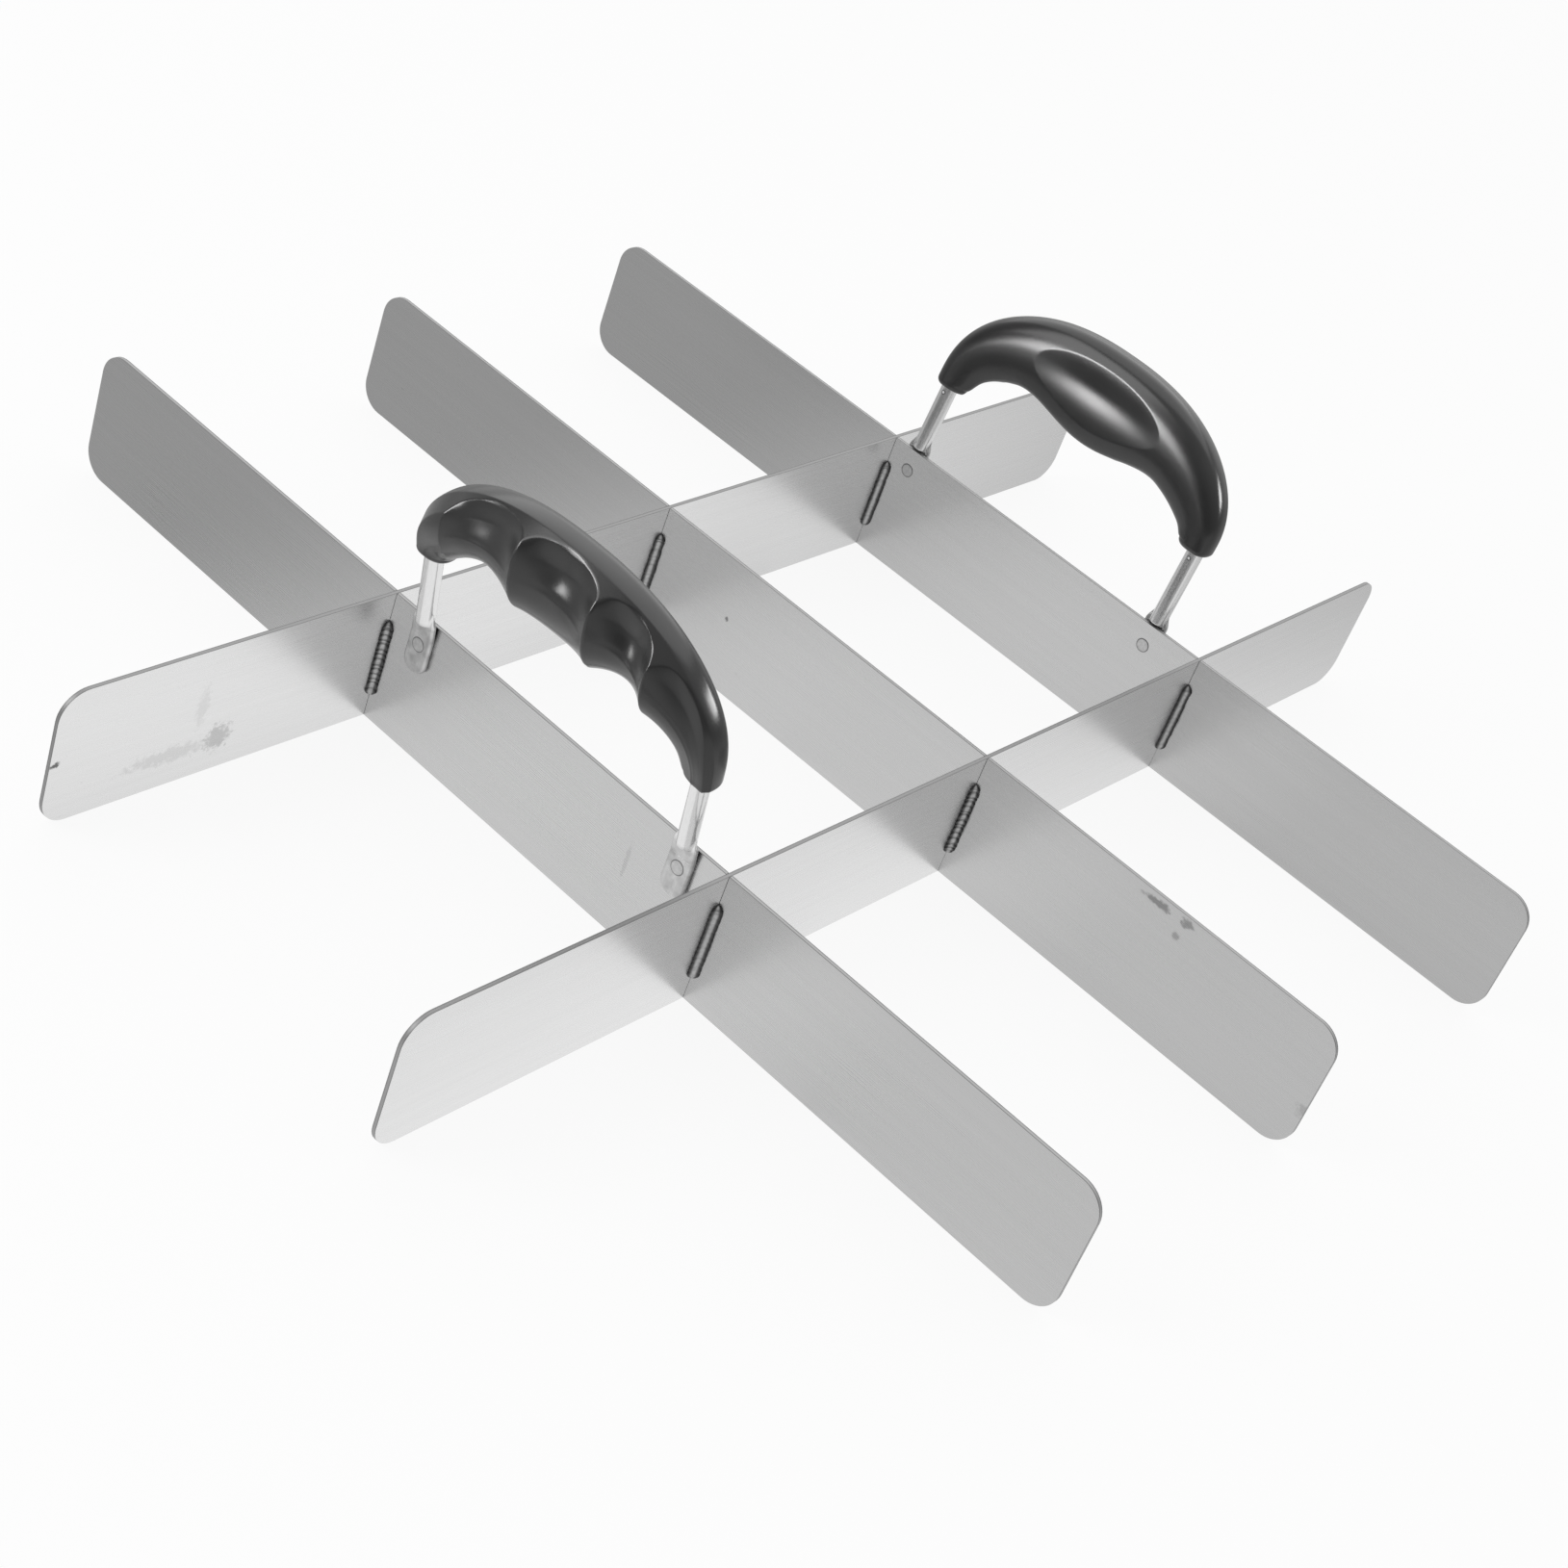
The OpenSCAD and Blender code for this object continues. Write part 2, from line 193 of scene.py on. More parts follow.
class GripSizes(bpy.types.PropertyGroup):
    """Sizes of a moulded grip."""
    half_spacing: length("Half spacing", "Half the distance between the posts", 60.5 * MM)
    foot: length("Foot", "Height of the feet above the blades", 29 * MM)
    lift: length("Lift", "How much higher the grip ends at its first finger groove", 3.5 * MM)
    rise: length("Rise", "Rise of the centre line from foot to middle", 31.5 * MM)
    arch_power: number("Arch power", "How square the arch is", 2.4)
    foot_outside: length("Foot outside", "Depth of a foot outside its post", 5.6 * MM)
    foot_inside: length("Foot inside", "Depth of a foot inside its post", 8.2 * MM)
    foot_width: length("Foot half width", "Half width of the grip at its feet", 6.4 * MM)
    crown: length("Crown", "Depth above the centre line at the middle", 15.9 * MM)
    under: length("Under", "Depth below the centre line beside the belly", 14 * MM)
    belly: length("Belly", "How far the belly hangs below that in the middle", 8 * MM)
    belly_reach: length("Belly reach", "Distance from the middle to the belly's end", 39 * MM)
    outer: length("Outer width", "Width on the outer side at the middle", 15 * MM)
    inner: length("Inner width", "Width on the inner side at the middle", 7.5 * MM)
    section_power: number("Section power", "How square the section is", 2.3)
    crest: share("Crest", "Place of the crest edge as a share of the outer width", 0.33)
    shoulder: angle("Shoulder", "Slope of the flat shoulder below the crest edge", 33)
    groove_depth: length("Groove depth", "Depth of the finger grooves", 4.2 * MM)
    dish_depth: length("Dish depth", "Depth of the thumb dish", 1.6 * MM)
    dish_len: length("Dish length", "Length of the thumb dish", 60 * MM)
    foot_round: length("Foot rounding", "Rounding of the feet", 2.5 * MM)
    hole_radius: length("Hole radius", "Radius of the hole that takes a post", 3.35 * MM)
    hole_depth: length("Hole depth", "Depth of the hole that takes a post", 11 * MM)


class GripLooks(bpy.types.PropertyGroup):
    """Finish of the moulded grips."""
    tone: share("Tone", "Grey of the black plastic", 0.012)
    roughness: share("Roughness", "Roughness of the glossy moulding", 0.22)


class StageLooks(bpy.types.PropertyGroup):
    """Camera, floor and light."""
    eye: bpy.props.FloatVectorProperty(name="Eye", description="Place of the camera", subtype="TRANSLATION",
                                       unit="LENGTH", default=(-0.7258, -0.4236, 0.5659))
    turn: bpy.props.FloatVectorProperty(name="Turn", description="Turn of the camera", subtype="EULER",
                                        unit="ROTATION",
                                        default=[math.radians(a) for a in (53.3013, -17.4981, -47.5782)])
    lens: bpy.props.FloatProperty(name="Lens", description="Focal length in millimetres", default=65.577)
    floor_tone: share("Floor tone", "Grey of the pale floor", 0.9)
    floor_bright: number("Floor near", "Brightness of the near floor as the object mirrors it", 1.0)
    floor_dim: number("Floor far", "Brightness of the far floor as the object mirrors it", 0.52)
    sky: number("Sky", "Strength of the room's soft light", 0.8)
    softboxes: number("Softboxes", "Strength of the softboxes: at 1 each has its listed brightness", 1)


GROUPS = {"steel_looks": SteelLooks, "bead_sizes": BeadSizes, "post_sizes": PostSizes,
          "handle_places": HandlePlaces, "rivet_sizes": RivetSizes, "grip_sizes": GripSizes,
          "grip_looks": GripLooks, "stage_looks": StageLooks}


class Wire:
    """Socket of a node tree that Python's operators work on: maths on it adds Math nodes."""

    def __init__(self, tree, socket=None):
        self.tree, self.socket = tree, socket

    def node(self, kind, settings=None, values=None, output=0):
        """Adds a node: its settings first, then the values or wires of its sockets."""
        made = self.tree.nodes.new(kind)
        for name, value in (settings or {}).items():
            setattr(made, name, value)
        for key, value in (values or {}).items():
            if isinstance(value, Wire):
                self.tree.links.new(value.socket, made.inputs[key])
            else:
                made.inputs[key].default_value = value
        return Wire(self.tree, made.outputs[output])

    def maths(self, operation, *values, **settings):
        return self.node("ShaderNodeMath", {"operation": operation, **settings}, dict(enumerate(values)))

    def __add__(self, other): return self.maths("ADD", self, other)
    def __sub__(self, other): return self.maths("SUBTRACT", self, other)
    def __rsub__(self, other): return self.maths("SUBTRACT", other, self)
    def __mul__(self, other): return self.maths("MULTIPLY", self, other)
    def __truediv__(self, other): return self.maths("DIVIDE", self, other)
    def __rtruediv__(self, other): return self.maths("DIVIDE", other, self)
    def __pow__(self, other): return self.maths("POWER", self, other)
    def __neg__(self): return self.maths("MULTIPLY", self, -1)
    def __abs__(self): return self.maths("ABSOLUTE", self)
    def __lt__(self, other): return self.maths("LESS_THAN", self, other)
    def __gt__(self, other): return self.maths("GREATER_THAN", self, other)
    __radd__, __rmul__ = __add__, __mul__

    def sin(self): return self.maths("SINE", self)
    def cos(self): return self.maths("COSINE", self)
    def sign(self): return self.maths("SIGN", self)
    def most(self, other): return self.maths("MAXIMUM", self, other)
    def least(self, other): return self.maths("MINIMUM", self, other)
    def clamp(self): return self.maths("ADD", self, 0, use_clamp=True)
    def root(self): return self.maths("SQRT", self.most(0))
    def fraction(self): return self.maths("FRACT", self)

    def spow(self, power):
        """Power that keeps the sign."""
        return self.sign() * abs(self) ** power

    def ease(self, low=0, high=1):
        """Smooth step from 0 at low to 1 at high."""
        return self.node("ShaderNodeMapRange", {"interpolation_type": "SMOOTHSTEP"}, {0: self, 1: low, 2: high})

    def to(self, other, way):
        """From this value at way 0 to the other at way 1."""
        return self + (other - self) * way

    def parts(self):
        """The three parts of a vector."""
        made = self.node("ShaderNodeSeparateXYZ", None, {0: self}).socket.node
        return [Wire(self.tree, out) for out in made.outputs]

    def vector(self, x, y, z):
        return self.node("ShaderNodeCombineXYZ", None, {0: x, 1: y, 2: z})


def surface_tree(name, group, rings, points, place):
    """Geometry Nodes tree that bends a grid into a closed surface.

    Its inputs are the sizes of a property group. place gets them with the shares along and around the surface,
    and gives back the point's three coordinates."""
    tree = bpy.data.node_groups.new(name, "GeometryNodeTree")
    face = tree.interface
    names = {key: group.bl_rna.properties[key].name for key in group.__annotations__}
    for key, title in names.items():
        face.new_socket(title, in_out="INPUT", socket_type="NodeSocketFloat")
    face.new_socket("Rings", in_out="INPUT", socket_type="NodeSocketInt").default_value = rings
    face.new_socket("Points", in_out="INPUT", socket_type="NodeSocketInt").default_value = points
    face.new_socket("Material", in_out="INPUT", socket_type="NodeSocketMaterial")
    face.new_socket("Surface", in_out="OUTPUT", socket_type="NodeSocketGeometry")
    inputs = tree.nodes.new("NodeGroupInput").outputs
    wire = Wire(tree)
    size = SimpleNamespace(**{key: Wire(tree, inputs[title]) for key, title in names.items()})
    grid = wire.node("GeometryNodeMeshGrid", None, {
        "Size X": 1, "Size Y": 1,
        "Vertices X": Wire(tree, inputs["Rings"]), "Vertices Y": Wire(tree, inputs["Points"])})
    x, y, _ = wire.node("GeometryNodeInputPosition").parts()
    for title, value in (("along", x + 0.5), ("around", y + 0.5)):
        grid = wire.node("GeometryNodeStoreNamedAttribute", {"data_type": "FLOAT", "domain": "POINT"},
                         {"Geometry": grid, "Name": title, "Value": value})
    shares = [wire.node("GeometryNodeInputNamedAttribute", {"data_type": "FLOAT"}, {"Name": title})
              for title in ("along", "around")]
    point = wire.vector(*place(size, *shares))
    bent = wire.node("GeometryNodeSetPosition", None, {"Geometry": grid, "Position": point})
    joined = wire.node("GeometryNodeMergeByDistance", None, {"Geometry": bent, "Distance": MERGE_DISTANCE})
    real = wire.node("GeometryNodeRealizeInstances", None, {0: joined})
    smooth = wire.node("GeometryNodeSetShadeSmooth", None, {"Geometry": real})
    material = Wire(tree, inputs["Material"])
    dressed = wire.node("GeometryNodeSetMaterial", None, {"Geometry": smooth, "Material": material})
    tree.links.new(dressed.socket, tree.nodes.new("NodeGroupOutput").inputs[0])
    return tree


def plain_piece(name, tree, values, material, place):
    """Runs a surface tree with the given sizes and keeps the result as a plain mesh at its place."""
    host = bpy.data.objects.new(name + "_host", bpy.data.meshes.new(name + "_host"))
    bpy.context.scene.collection.objects.link(host)
    modifier = host.modifiers.new("surface", "NODES")
    modifier.node_group = tree
    identifiers = {item.name: item.identifier for item in tree.interface.items_tree if item.in_out == "INPUT"}
    for title, value in values.items():
        modifier[identifiers[title]] = value
    modifier[identifiers["Material"]] = material
    depsgraph = bpy.context.evaluated_depsgraph_get()
    mesh = bpy.data.meshes.new_from_object(host.evaluated_get(depsgraph), preserve_all_data_layers=True,
                                           depsgraph=depsgraph)
    bpy.data.objects.remove(host)
    mesh.transform(place)
    shell = bmesh.new()
    shell.from_mesh(mesh)
    if shell.calc_volume(signed=True) < 0:
        bmesh.ops.reverse_faces(shell, faces=shell.faces)
    shell.to_mesh(mesh)
    shell.free()
    mesh.name = name
    piece = bpy.data.objects.new(name, mesh)
    bpy.context.scene.collection.objects.link(piece)
    return piece


def sizes_of(group, **changed):
    """Titles and values of a property group, with some of them changed."""
    return {group.bl_rna.properties[key].name: changed.get(key, getattr(group, key))
            for key in type(group).__annotations__}


def finished(piece, slot, *nodes):
    """Lets a piece ride on the body and stand for its CAD nodes."""
    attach(piece, "root")
    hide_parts(*nodes)


def handle_place(side):
    """Where a handle's own frame lies: X outwards, Y along the blade. The left one is turned by half a turn."""
    turn = 0 if side == "right" else math.pi
    return Matrix.Translation((SHORT_X[side], HANDLE_Y[side], 0)) @ Matrix.Rotation(turn, 4, "Z")


def local_end(side, end):
    """End of a post in its handle's own frame: -1 is beside the first finger groove."""
    return ENDS[end] * SIDES[side]


def post_place(side, end):
    """Where a post stands in the row frame."""
    return handle_place(side) @ Matrix.Translation((0, local_end(side, end) * POST_SPACING / 2, 0))


def lean_and_height(scene, side):
    """Lean of a handle, and height of its grip's lower foot above the blades."""
    return [getattr(scene.handle_places, f"{side}_{what}") for what in ("lean", "height")]


def foot_height(scene, side, end):
    """Height above the blades of the grip's foot on a post; the foot beside the first groove is higher."""
    return lean_and_height(scene, side)[1] + scene.grip_sizes.lift * (local_end(side, end) < 0)


def leaning_frame(scene, side):
    """Frame that leans with a handle's posts; its Z runs up them from the blade's top edge."""
    posts, (lean, _) = scene.post_sizes, lean_and_height(scene, side)
    out = BLADE_T / 2 + posts.tab_half_thickness + posts.to_shoulder * math.sin(lean)
    return handle_place(side) @ Matrix.Translation((out, 0, BLADE_TOP)) @ Matrix.Rotation(lean, 4, "Y")


class Finish:
    """A new material: its Principled shader, its object coordinates and one wire to start node maths from."""

    def __init__(self, name, **settings):
        self.material = bpy.data.materials.new(name)
        self.material.use_nodes = True
        self.tree = self.material.node_tree
        self.shader = self.tree.nodes["Principled BSDF"]
        self.wire = Wire(self.tree)
        self.at = self.wire.node("ShaderNodeTexCoord", output=3)
        for title, value in settings.items():
            self.shader.inputs[title.replace("_", " ")].default_value = value

    def noise(self, scale, detail, roughness=0.55, shift=(0, 0, 0)):
        """Noise on the object's coordinates; scale is in features per metre, for all axes or one for each."""
        scale = scale if isinstance(scale, tuple) else (scale,) * 3
        place = self.wire.node("ShaderNodeMapping", None, {"Vector": self.at, "Location": shift, "Scale": scale})
        return self.wire.node("ShaderNodeTexNoise", None, {"Vector": place, "Scale": 1, "Detail": detail,
                                                           "Roughness": roughness})

    def near(self, centre, reach):
        """1 at a point of the object, falling to 0 at the edge of an oval with the given reach."""
        place = self.wire.node("ShaderNodeMapping", {"vector_type": "POINT"}, {
            "Vector": self.at, "Location": [-c / r for c, r in zip(centre, reach)], "Scale": [1 / r for r in reach]})
        distance = self.wire.node("ShaderNodeVectorMath", {"operation": "LENGTH"}, {0: place}, output=1)
        return 1 - distance.clamp()

    def grey(self, tone):
        """Feeds a grey tone to the base colour."""
        self.feed("Base Color", self.wire.node("ShaderNodeCombineColor", None, {0: tone, 1: tone, 2: tone}))

    def feed(self, title, value):
        self.tree.links.new(value.socket, self.shader.inputs[title])

    def bump(self, height, distance, strength):
        self.feed("Normal", self.wire.node("ShaderNodeBump", None, {"Height": height, "Distance": distance,
                                                                    "Strength": strength}))


def brushed_steel(name, looks, along_y, middle, beads, marks):
    """Brushed sheet: fine grain and soft bands along the strip, cloudy tone, burnt scale by the beads, wear, painted
    shade on the edge faces, and a base tone painted darker on the short blades than on the long ones.

    The scale and the wear are on the welded face only, the one at the lower X or Y."""
    finish = Finish(name, Metallic=1.0)

    def stretch(long, fine):
        return (fine, long, fine) if along_y else (long, fine, fine)
    grain = finish.noise(stretch(20, 5000), 2, 0.6) - 0.5
    bands = finish.noise(stretch(5, 420), 3, 0.6) - 0.5
    clouds = finish.noise((9, 9, 14), 3, 0.5) - 0.5
    # Base tone: painted shade on the short blades and painted light on the long ones, one steel in two tones
    base = looks.short_tone_painted_darker if along_y else looks.long_tone_painted_lighter
    tone = base * (1 + looks.grain * (2.2 * grain + 1.2 * bands + 0.8 * clouds))
    x, y, _ = finish.at.parts()
    depth_in = ((x if along_y else y) - middle) / (BLADE_T / 2)
    scale = 0 * x
    for centre in beads:
        past = (y if along_y else x) > (centre[1] if along_y else centre[0]) + BLADE_T / 2
        scale = scale.most(finish.near(centre, SCALE_REACH) * (1 - past))
    burnt = (scale + 0.25 * (finish.noise(700, 3) - 0.5)).ease(0.1, 0.45) * (-depth_in).clamp()
    worn = 0 * x
    for centre, reach, depth in marks:
        speckle = 2.4 * (finish.noise(500, 4, 0.7, centre) - 0.5)
        worn = worn.most((1.5 * finish.near(centre, reach) + speckle).ease(0.4, 1) * depth)
    # Painted shade on the sheet's edge faces, darkest along their rims beside the broad faces; the edge faces are
    # also rougher
    nx, ny, _ = finish.wire.node("ShaderNodeTexCoord", output=1).parts()
    edge = 1 - abs(nx if along_y else ny)
    rim = depth_in ** 2
    painted_edge_shade = edge * (0.1 + 0.75 * rim if along_y else 0.5 + 0.25 * rim)
    finish.grey(tone * (1 - 0.7 * burnt) * (1 - worn) * (1 - painted_edge_shade))
    finish.feed("Roughness", looks.blade_roughness + 0.25 * edge + 0.2 * grain + 0.12 * clouds + 0.25 * burnt)
    finish.bump(grain + 0.4 * bands, 0.02 * MM, 0.22)
    return finish.material


def bead_steel(looks):
    """Weld bead: bright ripples in the middle and burnt scale towards the blades."""
    finish = Finish("weld_bead", Metallic=1.0)
    around = finish.wire.node("ShaderNodeAttribute", {"attribute_name": "around"}, output=2)
    core = (1 - abs(around - 0.46) * 3.4).ease(0.05, 0.8)
    speckle = finish.noise(900, 4, 0.7)
    bright = (core * (0.35 + 1.1 * speckle)).clamp()
    finish.grey(looks.scale_tone + (looks.bead_tone - looks.scale_tone) * bright)
    finish.feed("Roughness", 0.5 - 0.2 * bright)
    finish.bump(speckle, 0.08 * MM, 0.5)
    return finish.material


def post_steel(looks, holes):
    """Posts: drawn tube with fine lines along it, a small cross hole painted as a dark ring of painted shade round a
    bright core of painted light, and a duller, scuffed tab.
    """
    finish = Finish("post_tube", Metallic=1.0)
    _, _, height = finish.at.parts()
    tab = 1 - height.ease(BLADE_TOP - 1 * MM, BLADE_TOP + 2 * MM)
    lines = finish.noise((2600, 2600, 30), 3, 0.6) - 0.5
    scuffs = finish.noise(200, 4, 0.6) - 0.5
    # Painted hole, with no hole in the tube: a dark ring of painted shade round a bright core of painted light
    hole = 0 * height
    for centre in holes:
        hole = hole.most(finish.near(centre, (PAINTED_HOLE_RADIUS,) * 3))
    rim, core = (hole * 5).clamp(), ((hole - 0.4) * 6).clamp()
    finish.grey(looks.post_tone * (1 + 0.16 * lines - tab * (0.36 + 0.8 * scuffs)) * (1 - 0.7 * rim) + 0.75 * core)
    finish.feed("Roughness", looks.post_roughness + 0.12 * lines + tab * (0.16 + 0.3 * scuffs) + 0.5 * core)
    finish.bump(lines + tab * scuffs * 3, 0.03 * MM, 0.4)
    return finish.material


def rivet_steel(looks):
    """Rivets: hammered heads with a darker ring at the rim."""
    finish = Finish("rivet_head", Metallic=1.0)
    marks = finish.noise(700, 4, 0.65) - 0.5
    along = finish.wire.node("ShaderNodeAttribute", {"attribute_name": "along"}, output=2)
    rim = 1 - (abs(abs(along - 0.5) - 0.27) * 36).clamp()
    finish.grey(looks.rivet_tone * (1 + 0.9 * marks) * (1 - 0.75 * rim))
    finish.feed("Roughness", 0.36 + 0.5 * marks)
    finish.bump(marks, 0.1 * MM, 0.6)
    return finish.material


def moulded_plastic(looks):
    """Grips: glossy black moulding with a very fine skin and faint handling marks."""
    finish = Finish("moulded_plastic", IOR=1.52)
    skin = finish.noise(1800, 2, 0.5) - 0.5
    clouds = finish.noise(60, 3, 0.5) - 0.5
    finish.grey(looks.tone * (1 + 0.5 * clouds))
    finish.feed("Roughness", looks.roughness + 0.08 * clouds + 0.04 * skin)
    finish.bump(skin, 0.01 * MM, 0.25)
    return finish.material


def bead_point(size, along, around):
    """Point of a weld bead: a rippled fillet that stands in the corner of a crossing."""
    quarter = math.pi / 2
    back_share, dip = 0.08, 0.16
    ripple_bow, pitch_wander, wander_scale = 1.2 * MM, 3 * MM, 180
    turn = ((around - back_share) / (1 - 2 * back_share)).clamp() * quarter
    height = along * size.bead_len
    to_end = size.bead_len / 2 - abs(height - size.bead_len / 2)
    cap = (1 - (1 - (to_end / size.leg).clamp()) ** 2).root()
    wander = along.node("ShaderNodeTexNoise", {"noise_dimensions": "1D"},
                        {"W": height * wander_scale + size.seed, "Scale": 1, "Detail": 2}) - 0.5
    phase = (height + wander * pitch_wander + (turn - quarter / 2) ** 2 * ripple_bow) / size.ripple_pitch
    ripple = 1 - (2 * phase.fraction() - 1) ** 2
    hollow = 1 - dip + dip * (2 * turn).cos() ** 2
    reach = (size.leg + 2 * size.wobble * wander + size.ripple_height * (ripple - 1)) * hollow * cap
    reach = reach * (around / back_share).clamp() * ((1 - around) / back_share).clamp()
    return -reach * turn.cos(), -reach * turn.sin(), height


def post_point(size, along, around):
    """Point of a post: flat tab with round lower corners, bend, shoulder and round tube."""
    total = size.tab_len + size.to_shoulder + size.top_len
    closing = 0.015
    travel = ((along - closing) / (1 - 2 * closing)).clamp() * total
    inside = ((along / closing).clamp()).least(((1 - along) / closing).clamp())
    over = (travel - size.tab_len).most(0)
    up = travel - size.tab_len - size.to_shoulder
    corner = 1 - (1 - (1 - (travel / size.corner_radius).clamp()) ** 2).root()
    narrowing = (up / size.shoulder_len).ease()
    half_width = (size.tab_half_width - size.corner_radius * corner).to(size.tube_radius, narrowing)
    turn = around * math.tau
    side = half_width * turn.cos()
    swelling = (1 - (1 - (up / size.crimp_len).clamp()) ** 2).root()
    bulge = (1 - (side / size.tube_radius) ** 2).root() * size.tube_radius * swelling
    edge = ((abs(side) - half_width) / size.tab_half_thickness + 1).clamp()
    flange = size.tab_half_thickness * (1 - edge ** 2).root() * (1 - narrowing)
    out = turn.sin().sign() * bulge.most(flange) * inside
    side = side * inside
    lean = size.lean * (over > 0)
    x = over * size.lean.sin() + out * lean.cos()
    z = travel - over + over * size.lean.cos() - out * lean.sin()
    return x, side, z


def rivet_point(size, along, around):
    """Point of a rivet along X: inner head, shank and outer head.

    Each head takes a quarter of the way, and both are hammered nearly flush."""
    rim_slope, hammer_scale = 6, 900
    turn = around * math.tau
    reach = ((0.5 - abs(along - 0.5)) * 4).clamp()
    edge = ((1 - reach) * rim_slope).clamp()
    outer = (along - 0.25).most(0).least(0.5) * 2
    y, z = size.radius * reach * turn.cos(), size.radius * reach * turn.sin()
    marks = along.node("ShaderNodeTexNoise", None,
                       {"Vector": along.vector(y, z, 0), "Scale": hammer_scale, "Detail": 3}) - 0.5
    relief = edge * (size.rim + marks * size.dimple)
    return outer * size.grip_len + (outer * 2 - 1) * relief, y, z


def grip_point(size, along, around):
    """Point of a grip: an arch through the posts with finger grooves outside, a thumb dish inside and post holes.

    The last share of the way to each end is its foot: first rounded, then turned inwards, then down the post hole.
    Around the section, 0 degrees is up, 90 outwards and 270 inwards."""
    foot_share, steepest = 0.12, math.radians(62)
    rounding, turning, hole_start, hole_len, hole_end = 0.45, 0.15, 0.6, 0.3, 0.08
    wall_start, wall_bow, wall_reach, fade_start, fade_reach = 18, 18, 34, 95, 100
    hollow_place, hollow_reach, hollow_share = 60, 36, 0.6
    dish_place, dish_reach = 267, 36
    way = 2 * along - 1
    sweep = (abs(way) / (1 - foot_share)).least(1) * (math.pi / 2)
    cap = ((abs(way) - (1 - foot_share)) / foot_share).clamp()
    level, steep = sweep.cos(), sweep.sin() * way.sign()
    y = size.half_spacing * steep.spow(2 / size.arch_power)
    z = size.foot + size.rise * level ** (2 / size.arch_power) + size.lift * (y < 0) * (1 - level) ** 3
    normal_y = steep.spow(2 - 2 / size.arch_power) / size.half_spacing
    normal_z = level ** (2 - 2 / size.arch_power) / size.rise
    normal = (normal_y * normal_y + normal_z * normal_z).root()

    def swell(foot, middle, fade):
        return foot + (middle - foot) * level ** fade
    turn = around * math.tau
    degrees = around * 360
    rounded = (cap / rounding).clamp() * steepest
    inset = size.foot_round * (1 - rounded.cos())
    u, w = turn.cos(), turn.sin()
    hang = (1 - (y / size.belly_reach) ** 2).most(0) ** 2
    above = swell(size.foot_outside, size.crown, fade=1.7)
    below = swell(size.foot_inside, size.under, fade=0.4) + size.belly * hang
    wide = swell(size.foot_width, size.outer, fade=1)
    power = 2 / size.section_power
    up_side, out_side = u > 0, w > 0
    u = u.spow(power) * below.to(above, up_side)
    w = w.spow(power) * swell(size.foot_width, size.inner, fade=1).to(wide, out_side)
    place = y + normal_y / normal * u
    reach = (u * u + w * w).root()
    crest_up = above * (1 - size.crest ** size.section_power) ** (power / 2)
    flat = size.crest * wide * size.shoulder.sin() + crest_up * size.shoulder.cos()
    flat_keep = flat / (w * size.shoulder.sin() + u * size.shoulder.cos()).most(flat)
    fall = 1 - ((degrees - fade_start) / fade_reach).clamp() ** 2
    hollow = hollow_share * (1 - ((degrees - hollow_place) / hollow_reach) ** 2).most(0)
    edges = [edge * MM for edge in GROOVE_EDGES]
    groove_cut = 0 * y
    for start, end, depth in zip(edges, edges[1:], GROOVE_SHARES):
        bend = ((place - (start + end) / 2) / ((end - start) / 2)) ** 2
        wall = ((degrees - wall_start - wall_bow * bend) / wall_reach).clamp()
        groove_cut = groove_cut + (1 - bend).most(0) * ((1 - (1 - wall) ** 2) * fall + hollow) * depth
    oval = 1 - (2 * y / size.dish_len) ** 2 - ((degrees - dish_place) / dish_reach) ** 2
    keep = flat_keep.least(1 - size.groove_depth * groove_cut / reach)
    keep = keep - (size.dish_depth * oval.most(0) + inset) / reach
    inner = ((cap - rounding) / turning).clamp()
    closing = ((1 - cap) / hole_end).clamp()
    u = (u * keep).to(size.hole_radius * turn.cos() * closing, inner)
    w = (w * keep).to(size.hole_radius * turn.sin() * closing, inner)
    drop = size.foot_round * rounded.sin() - size.hole_depth * ((cap - hole_start) / hole_len).clamp()
    return w, y + normal_y / normal * u, z + normal_z / normal * u - drop


class MARKER_OT_dress_blades(bpy.types.Operator):
    """Gives each blade of the grid its brushed steel"""
    bl_idname = "marker.dress_blades"
    bl_label = "Dress the blades"

    def execute(self, context):
        looks = context.scene.steel_looks
        corner = BLADE_T / 2
        for name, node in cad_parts.items():
            if "_blade_" not in name:
                continue
            along_y = name.startswith("short")
            middle = middle_of(name).x if along_y else middle_of(name).y
            face = middle - corner
            beads = [(x - corner, y - corner, WELD_MIDDLE) for x in SHORT_X.values() for y in LONG_Y.values()
                     if abs((x if along_y else y) - middle) < BLADE_T]
            marks = []
            for along, height, reach_along, reach_up, depth in WEAR.get(name, ()):
                centre = (face, along * MM, height * MM) if along_y else (along * MM, face, height * MM)
                reach = (MM, reach_along * MM, reach_up * MM) if along_y else (reach_along * MM, MM, reach_up * MM)
                marks.append((centre, reach, depth))
            steel = brushed_steel("brushed_" + name, looks, along_y, middle, beads, marks)
            node.data.materials.clear()
            node.data.materials.append(steel)
        return {"FINISHED"}


class MARKER_OT_make_beads(bpy.types.Operator):
    """Makes the weld bead at each crossing of two blades"""
    bl_idname = "marker.make_beads"
    bl_label = "Make the weld beads"

    def execute(self, context):
        sizes = context.scene.bead_sizes
        tree = surface_tree("weld_bead", BeadSizes, rings=241, points=41, place=bead_point)
        steel = bead_steel(context.scene.steel_looks)
        seed_step = 7.3
        for count, (side, end) in enumerate((s, e) for s in SIDES for e in ENDS):
            node = f"weld_{side}_{end}"
            corner = (SHORT_X[side] - BLADE_T / 2, LONG_Y[end] - BLADE_T / 2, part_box(node)[0].z)
            ripples = sizes.ripple_height * CLEAR_RIPPLES.get(node, FAINT_RIPPLES)
            values = sizes_of(sizes, seed=seed_step * count, ripple_height=ripples)
            piece = plain_piece(f"bead_{side}_{end}", tree, values, steel, Matrix.Translation(corner))
            finished(piece, "weld_steel", node)
        return {"FINISHED"}


